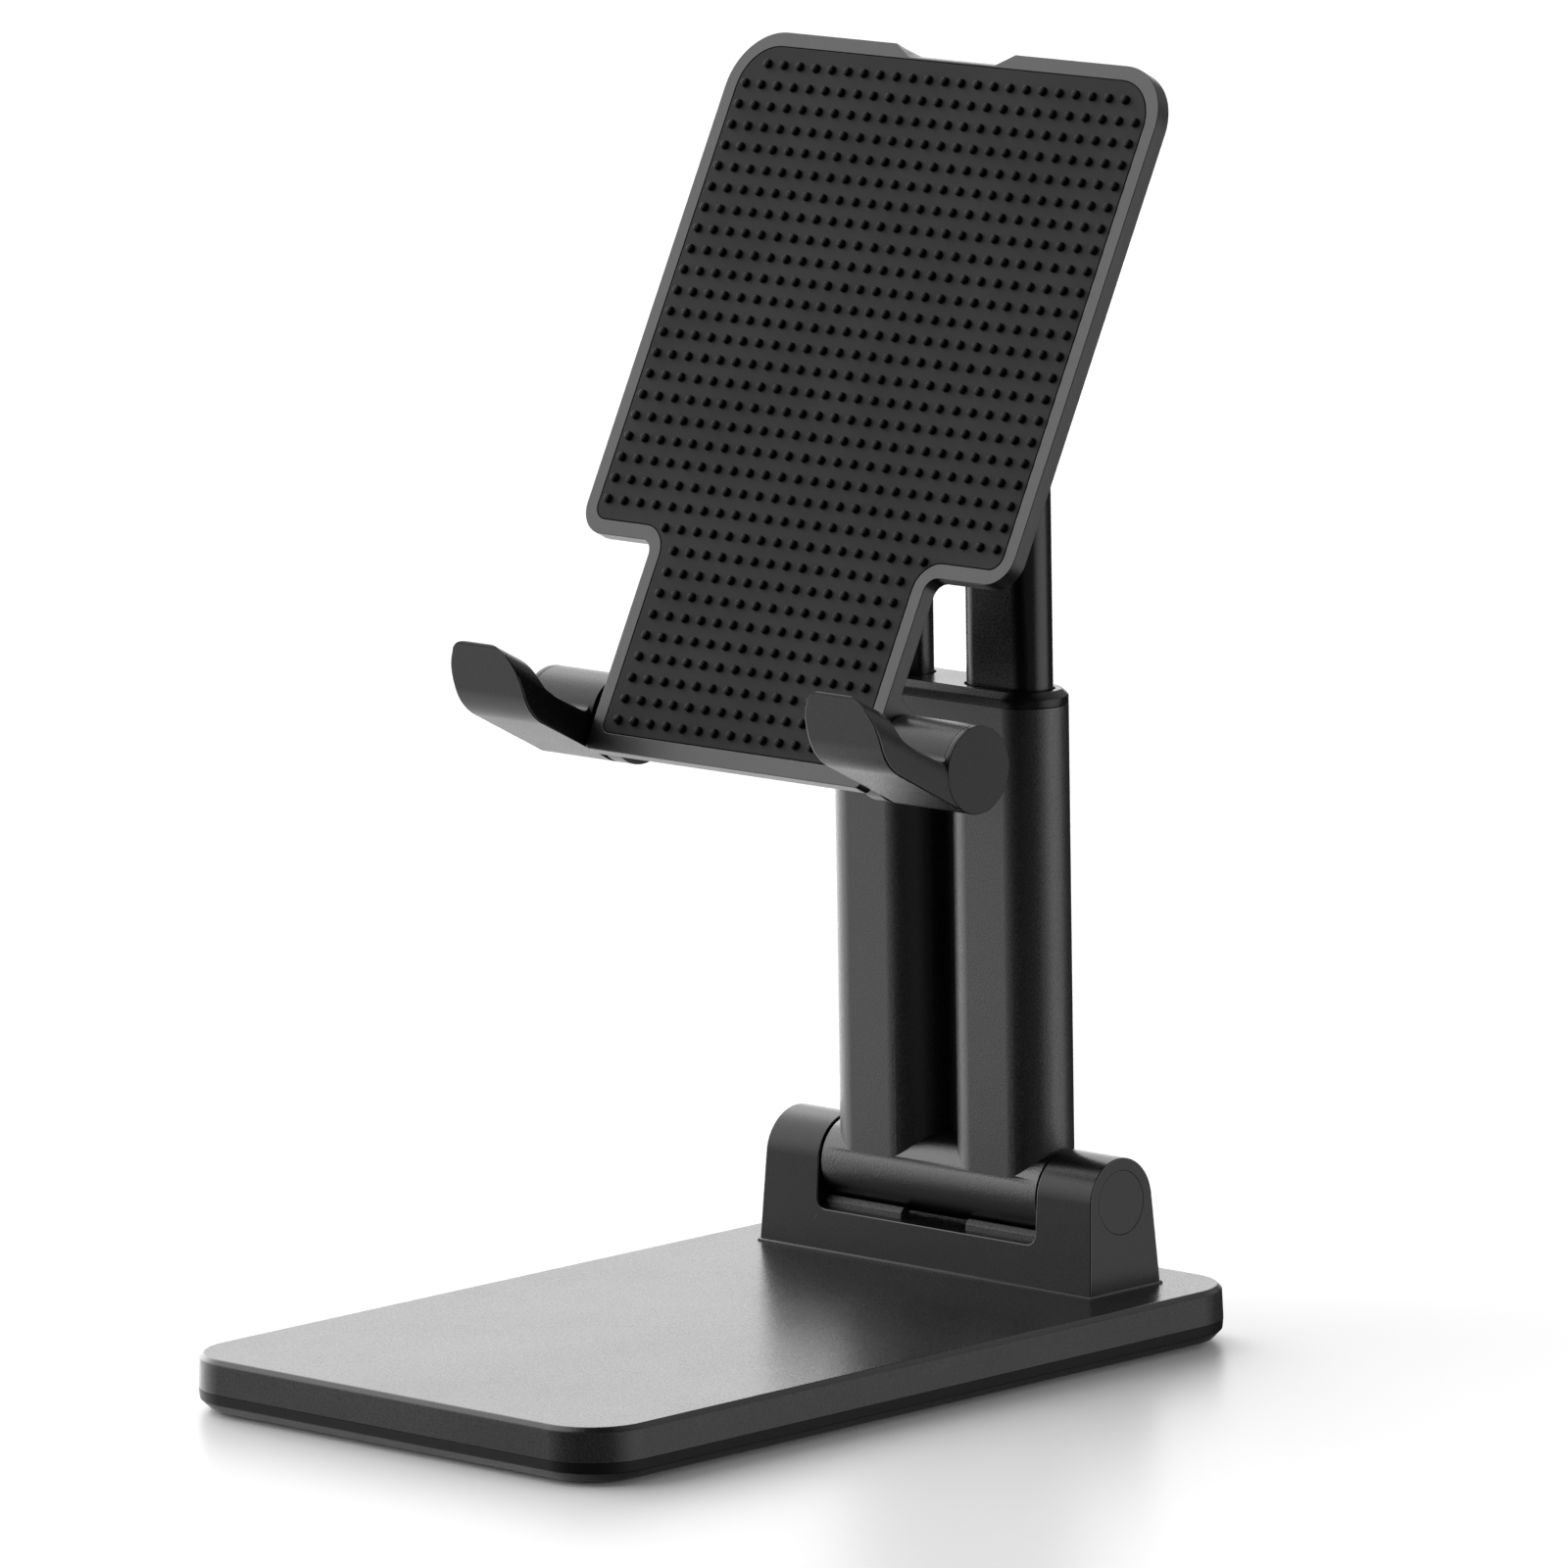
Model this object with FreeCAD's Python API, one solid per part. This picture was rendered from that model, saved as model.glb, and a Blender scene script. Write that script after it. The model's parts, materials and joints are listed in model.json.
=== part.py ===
import FreeCAD, Part
import math
import os

from FreeCAD import Vector

# Millimetres. +Z is up, the stand faces -Y, and the origin is the middle of the base's underside.

# ---- base ----
base_width = 76.0
base_depth = 119.8
base_top = 7.45
base_corner = 8.5
base_top_chamfer = 0.6
base_flare = 0.15            # the sides widen this much down to the seam
base_seam = 3.05             # height of the seam between cover and tray
base_wall = 1.8
base_skin = 1.5
tray_chamfer = 1.2
tray_floor = 1.0
pad_thickness = 0.45
pad_inset = 2.6
boss_radius = 3.0
boss_inset = 9.5
weight_gap = 0.4
weight_thickness = 3.0
screw_shank = 1.0
screw_head = 1.9
screw_head_height = 0.9

# ---- hinge housing on the base ----
hinge_y = 45.45
hinge_z = 19.0
housing_radius = 5.8
housing_ear = 10.1           # from the channel to the housing's end, at the base
housing_taper = 0.85         # lost from each end by the top
housing_foot = 6.65          # half depth at the base
channel_front = 13.05
channel_rear = 15.5
channel_corner = 1.5
bumper_top = 14.5
bumper_inner = 5.75
bumper_front = 4.7           # in front of the hinge axis
bumper_rear = 3.0
ear_cap_radius = 4.2
ear_cap_depth = 1.4
ear_recess_depth = 5.0
ear_recess_radius = 4.2
pin_radius = 2.5
pin_head_radius = 3.9
pin_head_depth = 1.5
spring_thickness = 0.45

# ---- lower arm ----
arm_barrel_radius = 5.65
post_width = 16.9
post_depth = 10.45
post_spacing = 21.1
post_wall = 1.3
collar_top = 84.6
cap_thickness = 2.0
cap_chamfer = 0.85
bridge_height = 8.0
web_front = 0.8              # wall between the posts, behind the hinge axis
web_thickness = 1.6
bushing_length = 6.0
bushing_wall = 0.8
well_floor = 0.8             # solid left between the barrel and the post's bore

# ---- rods ----
rod_inset_x = 1.95           # from a post's outside to its rod's
rod_inset_y = 2.05
rod_travel = 40.0
rod_stop_height = 5.3
rod_stop_gap = 0.3
rod_hole_gap = 0.3
head_above_collar = 57.83

# ---- head ----
head_barrel_radius = 5.2
neck_height = 14.0
neck_depth = 9.0
head_shoulder = 0.35         # left beside the rods' sockets
socket_depth = 10.0
head_pin_radius = 2.0
head_screw_radius = 1.0
head_screw_length = 3.6
tilt_ear_width = 4.5
tilt_foot_half = 9.0
tilt_foot_width = 12.0
tilt_foot_thickness = 1.8

# ---- phone plate ----
plate_tilt = 27.4
plate_face = 8.5             # from the tilt axis to the pad's face
plate_thickness = 2.2
plate_half = 38.0
plate_top = 22.25            # heights are along the plate, from the tilt axis
plate_shoulder = -48.0
plate_bottom = -76.52
plate_stem_half = 24.45
plate_rim = 2.0
plate_rim_bottom = 2.4
plate_corner = 8.0
plate_shoulder_corner = 4.0
plate_inner_corner = 1.9
plate_stem_corner = 0.8
silicone_thickness = 0.9
scoop_half = 10.55
scoop_floor_half = 7.5
scoop_depth = 1.75

# ---- hooks ----
hook_back = 5.6              # axis behind the pad's face
hook_height = -70.52         # axis along the plate
hook_radius = 5.65
hook_inner = 25.2
hook_outer = 38.0
shelf_below_axis = 1.45
lip_outer_reach = 15.95      # where the lip's outer line meets the underside, from the axis
lip_inner_reach = 14.36      # where the lip's inner line meets the shelf
lip_angle = 45.0
lip_outer_bend = 7.0
lip_inner_bend = 4.0
lip_top = 1.5               # lip's top edge above the axis
lip_corner = 4.6
lip_edge = 0.3
shelf_fillet = 1.2           # between the shelf and the barrel
hook_cap_depth = 1.0
hook_pin_radius = 1.6
hook_pin_head_radius = 2.8
hook_pin_head_depth = 1.1
lug_inner = 21.6
lug_outer = 24.45
lug_slope = 72.0             # the lug's back runs up into the plate at this angle to it
lug_root = 0.6               # how deep a lug is sunk in the plate

# ---- clearances ----
running = 0.05               # radial, pin in bore
side_play = 0.4              # between a barrel's end and an ear
post_play = 0.5              # between a post and the housing's channel
washer_thickness = 0.3
seam = 0.05
clear = 0.3

# ---- worked out ----
head_z = collar_top + head_above_collar
cap_seat = collar_top - cap_thickness
post_x = post_spacing / 2
channel_half = post_x + post_width / 2 + post_play
housing_half = channel_half + housing_ear
rod_width = post_width - 2 * rod_inset_x
rod_depth = post_depth - 2 * rod_inset_y
head_barrel_half = post_x + rod_width / 2 + head_shoulder
neck_half = head_barrel_half + side_play
barrel_half = channel_half - side_play
bore_width = post_width - 2 * post_wall
bore_depth = post_depth - 2 * post_wall
bore_floor = hinge_z + arm_barrel_radius + well_floor
rod_foot = bore_floor + 2 * clear + rod_travel
rod_stop_top = rod_foot + rod_stop_height
liner_foot = rod_stop_top + rod_stop_gap
rod_top = head_z - neck_height + socket_depth
ear_inner = head_barrel_half + side_play
ear_outer = ear_inner + tilt_ear_width


def box(x0, x1, y0, y1, z0, z1):
    return Part.makeBox(x1 - x0, y1 - y0, z1 - z0, Vector(x0, y0, z0))


def x_cylinder(radius, x0, x1, y, z):
    return Part.makeCylinder(radius, x1 - x0, Vector(x0, y, z), Vector(1, 0, 0))


def x_ring(outer, inner, x0, x1, y, z):
    return x_cylinder(outer, x0, x1, y, z).cut(x_cylinder(inner, x0, x1, y, z))


def mirrored(shape):
    return shape.mirror(Vector(0, 0, 0), Vector(1, 0, 0))


def both_sides(shape):
    return Part.makeCompound([shape, mirrored(shape)])


def rounded_rectangle(width, depth, corner, z):
    """A horizontal wire, as eight edges."""
    half_x = width / 2
    half_y = depth / 2
    edges = []
    turn = math.sqrt(0.5) * corner
    for sx, sy in ((1, 1), (-1, 1), (-1, -1), (1, -1)):
        centre = Vector(sx * (half_x - corner), sy * (half_y - corner), z)
        ends = [centre + Vector(sx * corner, 0, 0), centre + Vector(0, sy * corner, 0)]
        if sx * sy < 0:
            ends.reverse()
        middle = centre + Vector(sx * turn, sy * turn, 0)
        edges.append((ends[0], middle, ends[1]))
    wire = []
    for index, (start, middle, end) in enumerate(edges):
        wire.append(Part.Arc(start, middle, end).toShape())
        wire.append(Part.makeLine(end, edges[(index + 1) % 4][0]))
    return Part.Wire(wire)


def slab(layers):
    """A solid through rounded rectangles given as (inset, z), widest first size is the base's."""
    solid = None
    for (inset0, z0), (inset1, z1) in zip(layers, layers[1:]):
        wires = []
        for inset, z in ((inset0, z0), (inset1, z1)):
            wires.append(
                rounded_rectangle(base_width - 2 * inset, base_depth - 2 * inset, base_corner - inset, z)
            )
        part = Part.makeLoft(wires, True, True)
        solid = part if solid is None else solid.fuse(part)
    return solid.removeSplitter()


def stadium(width, depth, z0, z1, x, y):
    """An upright column with round ends, its width along X."""
    reach = (width - depth) / 2
    radius = depth / 2
    solid = box(x - reach, x + reach, y - radius, y + radius, z0, z1)
    for side in (-1, 1):
        centre = Vector(x + side * reach, y, z0)
        solid = solid.fuse(Part.makeCylinder(radius, z1 - z0, centre))
    return solid.removeSplitter()


def screw_down(x, y, head_z0, tip_z):
    """A screw driven upwards: head at head_z0, tip above it."""
    head = Part.makeCylinder(screw_head, screw_head_height, Vector(x, y, head_z0))
    shank = Part.makeCylinder(screw_shank, tip_z - head_z0, Vector(x, y, head_z0))
    drive = Part.makeBox(screw_head, 0.5, 0.5, Vector(x - screw_head / 2, y - 0.25, head_z0))
    cross = Part.makeBox(0.5, screw_head, 0.5, Vector(x - 0.25, y - screw_head / 2, head_z0))
    return head.fuse(shank).cut(drive.fuse(cross))


# ---- base ----


def boss_places():
    places = []
    for sx in (-1, 1):
        for sy in (-1, 1):
            places.append((sx * (base_width / 2 - boss_inset), sy * (base_depth / 2 - boss_inset)))
    return places


def housing_screw_places():
    reach = (channel_half + housing_half - housing_taper) / 2
    return [(-reach, hinge_y), (reach, hinge_y)]


def make_base_cover():
    outer = slab([(-base_flare, base_seam), (0, base_top - base_top_chamfer), (base_top_chamfer, base_top)])
    hollow = slab([(base_wall, base_seam), (base_wall, base_top - base_skin)])
    cover = outer.cut(hollow)
    for x, y in boss_places():
        boss = Part.makeCylinder(boss_radius, base_top - base_skin - base_seam, Vector(x, y, base_seam))
        cover = cover.fuse(boss)
        hole_depth = base_top - base_skin - base_seam
        cover = cover.cut(Part.makeCylinder(screw_shank, hole_depth, Vector(x, y, base_seam)))
    for x, y in housing_screw_places():
        cover = cover.cut(Part.makeCylinder(screw_shank, 2 * base_skin, Vector(x, y, base_top - 1.5 * base_skin)))
    return cover.removeSplitter()


def make_base_tray():
    low = pad_thickness
    outer = slab([(tray_chamfer, low), (0, low + tray_chamfer), (-base_flare, base_seam - seam)])
    hollow = slab([(base_wall, low + tray_floor), (base_wall, base_seam - seam)])
    tray = outer.cut(hollow)
    for x, y in boss_places():
        boss = Part.makeCylinder(boss_radius, base_seam - seam - low, Vector(x, y, low))
        hole = Part.makeCylinder(screw_shank + running, base_seam - low, Vector(x, y, low))
        head = Part.makeCylinder(screw_head + running, screw_head_height + running, Vector(x, y, low))
        tray = tray.fuse(boss).cut(hole).cut(head)
    return tray.removeSplitter()


def make_base_pad():
    return slab([(pad_inset, 0), (pad_inset, pad_thickness)])


def make_base_screws():
    tip = base_top - base_skin - clear
    return Part.makeCompound([screw_down(x, y, pad_thickness + running, tip) for x, y in boss_places()])


def make_base_weight():
    inset = base_wall + weight_gap
    low = pad_thickness + tray_floor
    plate = slab([(inset, low), (inset, low + weight_thickness)])
    for x, y in boss_places():
        plate = plate.cut(Part.makeCylinder(boss_radius + weight_gap, weight_thickness, Vector(x, y, low)))
    for x, y in housing_screw_places():
        plate = plate.cut(Part.makeCylinder(screw_head + weight_gap, weight_thickness, Vector(x, y, low)))
    return plate


# ---- hinge housing ----


def housing_block():
    """The drafted block with its round top, before anything is cut from it."""
    height = hinge_z - base_top
    lean = math.atan((housing_foot - housing_radius) / height)
    tangent_y = housing_radius * math.cos(lean)
    tangent_z = hinge_z + housing_radius * math.sin(lean)
    x0 = -housing_half
    front_foot = Vector(x0, hinge_y - housing_foot, base_top)
    front_top = Vector(x0, hinge_y - tangent_y, tangent_z)
    top = Vector(x0, hinge_y, hinge_z + housing_radius)
    rear_top = Vector(x0, hinge_y + tangent_y, tangent_z)
    rear_foot = Vector(x0, hinge_y + housing_foot, base_top)
    side = Part.Wire([
        Part.makeLine(front_foot, front_top),
        Part.Arc(front_top, top, rear_top).toShape(),
        Part.makeLine(rear_top, rear_foot),
        Part.makeLine(rear_foot, front_foot),
    ])
    block = Part.Face(side).extrude(Vector(2 * housing_half, 0, 0))
    top_z = hinge_z + housing_radius
    narrow = housing_half - housing_taper
    y0 = hinge_y - 2 * housing_foot
    corners = [
        Vector(-housing_half, y0, base_top),
        Vector(housing_half, y0, base_top),
        Vector(narrow, y0, top_z + 1),
        Vector(-narrow, y0, top_z + 1),
    ]
    front = Part.Face(Part.makePolygon(corners + corners[:1]))
    return block.common(front.extrude(Vector(0, 4 * housing_foot, 0)))


def channel_cut():
    """The slot between the ears, lower in front than behind, round the arm's barrel."""
    top_z = hinge_z + 2 * housing_radius
    y0 = hinge_y - 2 * housing_foot
    front = box(-channel_half, channel_half, y0, hinge_y, channel_front, top_z)
    corners = [e for e in front.Edges if abs(e.BoundBox.ZMax - channel_front) < 1e-6 and e.BoundBox.YLength > 1]
    front = front.makeFillet(channel_corner, corners)
    rear = box(-channel_half, channel_half, hinge_y, hinge_y + 2 * housing_foot, channel_rear, top_z)
    round_way = x_cylinder(arm_barrel_radius + clear, -channel_half, channel_half, hinge_y, hinge_z)
    return front.fuse(rear).fuse(round_way)


def make_housing():
    housing = housing_block().cut(channel_cut())
    housing = housing.cut(x_cylinder(pin_radius, -housing_half, housing_half, hinge_y, hinge_z))
    for side in (-1, 1):
        floor = side * (cap_floor() - ear_recess_depth + ear_cap_depth)
        ends = sorted((floor, side * housing_half))
        housing = housing.cut(x_cylinder(ear_recess_radius, ends[0], ends[1], hinge_y, hinge_z))
        ends = sorted((side * cap_floor(), side * housing_half))
        housing = housing.cut(x_cylinder(ear_cap_radius, ends[0], ends[1], hinge_y, hinge_z))
    for x, y in housing_screw_places():
        depth = housing_screw_depth()
        housing = housing.cut(Part.makeCylinder(screw_shank, depth, Vector(x, y, base_top)))
    return housing.cut(make_bumpers()).removeSplitter()


def housing_screw_depth():
    return hinge_z - ear_recess_radius - base_top - 2 * clear


def cap_floor():
    """How far out an ear cap's inner face lies."""
    return housing_half - housing_taper - ear_cap_depth


def make_ear_cap():
    disc = x_cylinder(ear_cap_radius - seam, cap_floor(), housing_half, hinge_y, hinge_z)
    return disc.common(housing_block())


def make_housing_screws():
    low = base_top - base_skin - screw_head_height
    tip = base_top + housing_screw_depth() - clear
    return Part.makeCompound([screw_down(x, y, low, tip) for x, y in housing_screw_places()])


def make_bumpers():
    """Ribs let into the channel's floor, which the folded arm comes down on."""
    y0 = hinge_y - bumper_front
    y1 = hinge_y - bumper_rear
    rib = box(bumper_inner, channel_half, y0, y1, channel_front - 1.0, bumper_top)
    slope = rib.Edges
    slope = [e for e in slope if abs(e.BoundBox.ZMin - bumper_top) < 1e-6 and abs(e.BoundBox.YMax - y0) < 1e-6]
    rib = rib.makeChamfer(0.6, slope)
    rib = rib.cut(x_cylinder(arm_barrel_radius + clear, 0, channel_half, hinge_y, hinge_z))
    return both_sides(rib)


def make_hinge_pin():
    """Pin with its head in the left ear and its thread in the right one."""
    outer = cap_floor() - clear
    shank = x_cylinder(pin_radius, -outer, outer, hinge_y, hinge_z)
    head = x_cylinder(pin_head_radius, -outer, -outer + pin_head_depth, hinge_y, hinge_z)
    return shank.fuse(head).removeSplitter()


def make_hinge_nut():
    """Hexagonal nut on the pin's right end."""
    outer = cap_floor() - clear
    width = 1.8
    points = []
    for step in range(7):
        angle = math.radians(60 * step)
        points.append(Vector(outer - width, hinge_y + 4.0 * math.cos(angle), hinge_z + 4.0 * math.sin(angle)))
    nut = Part.Face(Part.makePolygon(points)).extrude(Vector(width, 0, 0))
    return nut.cut(x_cylinder(pin_radius, outer - width, outer, hinge_y, hinge_z))


def make_hinge_springs():
    """Disc springs stacked between the nut and the ear."""
    floor = cap_floor() - ear_recess_depth + ear_cap_depth
    rings = []
    for index in range(3):
        x0 = floor + index * (spring_thickness + seam)
        rings.append(x_ring(pin_head_radius, pin_radius, x0, x0 + spring_thickness, hinge_y, hinge_z))
    return Part.makeCompound(rings)


def make_hinge_washers():
    x0 = barrel_half + (side_play - washer_thickness) / 2
    ring = x_ring(arm_barrel_radius - 0.6, pin_radius + running, x0, x0 + washer_thickness, hinge_y, hinge_z)
    return both_sides(ring)


# ---- lower arm ----


def make_lower_arm():
    arm = x_cylinder(arm_barrel_radius, -barrel_half, barrel_half, hinge_y, hinge_z)
    for side in (-1, 1):
        arm = arm.fuse(stadium(post_width, post_depth, hinge_z, cap_seat, side * post_x, hinge_y))
    web_y = hinge_y + web_front
    arm = arm.fuse(box(-post_x, post_x, web_y, web_y + web_thickness, hinge_z, cap_seat))
    total = post_spacing + post_width
    arm = arm.fuse(stadium(total, post_depth, cap_seat - bridge_height, cap_seat, 0, hinge_y))
    for side in (-1, 1):
        arm = arm.cut(stadium(bore_width, bore_depth, bore_floor, cap_seat, side * post_x, hinge_y))
    bore = x_cylinder(pin_radius + running, -barrel_half, barrel_half, hinge_y, hinge_z)
    arm = arm.cut(bore)
    for side in (-1, 1):
        ends = sorted((side * barrel_half, side * (barrel_half - bushing_length)))
        seat = x_cylinder(pin_radius + bushing_wall, ends[0], ends[1], hinge_y, hinge_z)
        arm = arm.cut(seat)
    return arm.removeSplitter()


def make_arm_bushings():
    ring = x_ring(
        pin_radius + bushing_wall, pin_radius + running, barrel_half - bushing_length, barrel_half, hinge_y, hinge_z
    )
    return both_sides(ring)


def make_arm_cap():
    total = post_spacing + post_width
    cap = stadium(total, post_depth, cap_seat + seam, collar_top, 0, hinge_y)
    rim = [e for e in cap.Edges if abs(e.BoundBox.ZMin - collar_top) < 1e-6]
    cap = cap.makeChamfer(cap_chamfer, rim)
    for side in (-1, 1):
        hole = stadium(
            rod_width + 2 * rod_hole_gap, rod_depth + 2 * rod_hole_gap, cap_seat, collar_top, side * post_x, hinge_y
        )
        cap = cap.cut(hole)
    return cap


def make_slide_liners():
    sleeve = stadium(bore_width, bore_depth, liner_foot, cap_seat, post_x, hinge_y)
    way = stadium(rod_width + 2 * running, rod_depth + 2 * running, liner_foot, cap_seat, post_x, hinge_y)
    return both_sides(sleeve.cut(way))


# ---- rods and head ----


def make_rod():
    rod = stadium(rod_width, rod_depth, rod_foot, rod_top, post_x, hinge_y)
    foot = [e for e in rod.Edges if abs(e.BoundBox.ZMax - rod_foot) < 1e-6]
    return rod.makeChamfer(0.4, foot)


def make_rod_stops():
    """Collars on the rods' feet, which meet the liners when the rods are drawn out."""
    gap = 2 * clear
    collar = stadium(bore_width - gap, bore_depth - gap, rod_foot + 1.0, rod_stop_top, post_x, hinge_y)
    return both_sides(collar.cut(stadium(rod_width, rod_depth, rod_foot, rod_stop_top, post_x, hinge_y)))


def make_head_yoke():
    yoke = x_cylinder(head_barrel_radius, -head_barrel_half, head_barrel_half, hinge_y, head_z)
    neck = stadium(2 * neck_half, neck_depth, head_z - neck_height, head_z - head_pin_radius, 0, hinge_y)
    neck = neck.common(box(-head_barrel_half, head_barrel_half, hinge_y - 9, hinge_y + 9, 0, head_z))
    yoke = yoke.fuse(neck)
    gap_low = head_z - neck_height
    gap_high = head_z - head_barrel_radius - 3.0
    half = post_x - rod_width / 2 - 1.2
    yoke = yoke.cut(box(-half, half, hinge_y - 9, hinge_y + 9, gap_low, gap_high))
    for side in (-1, 1):
        yoke = yoke.cut(stadium(rod_width, rod_depth, gap_low, rod_top, side * post_x, hinge_y))
        hole = head_screw_hole(side * post_x, head_screw_radius)
        yoke = yoke.cut(hole)
    yoke = yoke.cut(x_cylinder(head_pin_radius + running, -neck_half, neck_half, hinge_y, head_z))
    return yoke.removeSplitter()


def head_screw_hole(x, radius):
    start = Vector(x, hinge_y + neck_depth / 2, head_z - neck_height + socket_depth / 2)
    return Part.makeCylinder(radius, (neck_depth - rod_depth) / 2, start, Vector(0, -1, 0))


def make_head_screws():
    """Grub screws that hold the rods in the yoke."""
    screws = []
    for side in (-1, 1):
        start = Vector(side * post_x, hinge_y + neck_depth / 2 - 0.2, head_z - neck_height + socket_depth / 2)
        length = (neck_depth - rod_depth) / 2 - 0.2
        screw = Part.makeCylinder(head_screw_radius, length, start, Vector(0, -1, 0))
        socket = Part.makeCylinder(head_screw_radius / 2, length / 2, start, Vector(0, -1, 0))
        screws.append(screw.cut(socket))
    return Part.makeCompound(screws)


def make_head_washers():
    x0 = head_barrel_half + (side_play - washer_thickness) / 2
    ring = x_ring(head_barrel_radius - 0.7, head_pin_radius + running, x0, x0 + washer_thickness, hinge_y, head_z)
    return both_sides(ring)


def make_head_pin():
    outer = ear_outer - 0.5
    pin = x_cylinder(head_pin_radius, -outer, outer, hinge_y, head_z)
    head = x_cylinder(head_pin_radius + 1.2, -outer, -outer + 1.4, hinge_y, head_z)
    return pin.fuse(head).removeSplitter()


def make_head_nut():
    outer = ear_outer - 0.5
    ring = x_ring(head_pin_radius + 1.2, head_pin_radius, outer - 1.4, outer, hinge_y, head_z)
    slots = box(outer - 0.5, outer, hinge_y - 0.3, hinge_y + 0.3, head_z - 4, head_z + 4)
    slots = slots.cut(x_cylinder(head_pin_radius, outer - 1, outer, hinge_y, head_z))
    return ring.cut(slots)


# ---- phone plate, drawn upright about the tilt axis and then leaned back ----


def leaned(shape):
    """From the upright drawing to the place where the plate stands."""
    shape = shape.copy()
    shape.rotate(Vector(0, 0, 0), Vector(1, 0, 0), -plate_tilt)
    shape.translate(Vector(0, hinge_y, head_z))
    return shape


def rounded_outline(points, y):
    """A wire in the XZ plane through (x, z, corner radius) points, with arcs at the corners."""
    count = len(points)
    cuts = []
    for index, (x, z, radius) in enumerate(points):
        here = Vector(x, y, z)
        before = Vector(points[index - 1][0], y, points[index - 1][1])
        after = Vector(points[(index + 1) % count][0], y, points[(index + 1) % count][1])
        back = (before - here).normalize()
        ahead = (after - here).normalize()
        half_angle = back.getAngle(ahead) / 2
        reach = radius / math.tan(half_angle)
        middle = (back + ahead).normalize()
        centre = here + middle * (radius / math.sin(half_angle))
        cuts.append((here + back * reach, centre - middle * radius, here + ahead * reach))
    edges = []
    for index, (start, middle, end) in enumerate(cuts):
        edges.append(Part.Arc(start, middle, end).toShape())
        edges.append(Part.makeLine(end, cuts[(index + 1) % count][0]))
    return Part.Wire(edges)


def tee(inset, bottom_inset, y0, y1, gap=0.0):
    """The T of the plate, pulled in by inset, from y0 back to y1."""
    inset += gap
    bottom = plate_bottom + bottom_inset + gap
    half = plate_half - inset
    stem = plate_stem_half - inset
    top = plate_top - inset
    shoulder = plate_shoulder + inset
    low = plate_shoulder_corner - inset
    low = max(low, plate_shoulder_corner / 2)
    foot = plate_stem_corner if inset == 0 else 1.2
    points = [
        (half, top, plate_corner - inset),
        (-half, top, plate_corner - inset),
        (-half, shoulder, low),
        (-stem, shoulder, plate_inner_corner + inset),
        (-stem, bottom, foot),
        (stem, bottom, foot),
        (stem, shoulder, plate_inner_corner + inset),
        (half, shoulder, low),
    ]
    return Part.Face(rounded_outline(points, y0)).extrude(Vector(0, y1 - y0, 0))


def plate_back():
    return -plate_face + plate_thickness


def hook_axis():
    """The hooks' axis as (y, z) in the upright drawing."""
    return -plate_face + hook_back, hook_height


def make_plate():
    plate = tee(0, 0, -plate_face, plate_back())
    recess = tee(plate_rim, plate_rim_bottom, -plate_face, -plate_face + silicone_thickness)
    plate = plate.cut(recess)
    y, z = hook_axis()
    for side in (-1, 1):
        ends = sorted((side * lug_inner, side * lug_outer))
        lug = x_cylinder(hook_radius, ends[0], ends[1], y, z)
        slope = math.radians(lug_slope)
        root = Vector(ends[0], plate_back() - lug_root, z)
        crown = Vector(ends[0], y + hook_radius * math.cos(slope), z + hook_radius * math.sin(slope))
        rise = (crown.y - root.y) / math.tan(slope)
        corners = [root, crown, Vector(ends[0], root.y, crown.z + rise)]
        web = Part.Face(Part.makePolygon(corners + corners[:1])).extrude(Vector(ends[1] - ends[0], 0, 0))
        behind = box(ends[0], ends[1], root.y, y + hook_radius, plate_bottom, plate_shoulder)
        plate = plate.fuse(lug.common(behind)).fuse(web)
    for side in (-1, 1):
        ends = sorted((side * lug_inner, side * lug_outer))
        plate = plate.cut(x_cylinder(hook_pin_radius, ends[0], ends[1], y, z))
    plate = plate.cut(scoop())
    for x, z in foot_screw_places():
        plate = plate.cut(Part.makeCylinder(0.7, 1.2, Vector(x, plate_back(), z), Vector(0, -1, 0)))
    return leaned(plate.removeSplitter())


def scoop():
    """The finger notch in the top edge, wider and deeper in front."""
    front = -plate_face - 0.1
    back = plate_back() + 0.1
    wires = []
    for y, depth in ((front, scoop_depth), (back, scoop_depth * 0.45)):
        corners = [
            Vector(-scoop_half, y, plate_top + 0.01),
            Vector(scoop_half, y, plate_top + 0.01),
            Vector(scoop_floor_half, y, plate_top - depth),
            Vector(-scoop_floor_half, y, plate_top - depth),
        ]
        wires.append(Part.makePolygon(corners + corners[:1]))
    return Part.makeLoft(wires, True, True)


def make_silicone():
    y0 = -plate_face
    pad = tee(plate_rim, plate_rim_bottom, y0, y0 + silicone_thickness, seam)
    return leaned(pad)


def foot_screw_places():
    """Screws that hold the tilt ears, as (x, z) in the upright drawing."""
    places = []
    for sx in (-1, 1):
        for sz in (-1, 1):
            places.append((sx * (ear_outer + 3.6), sz * (tilt_foot_half - 3.0)))
    return places


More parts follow.
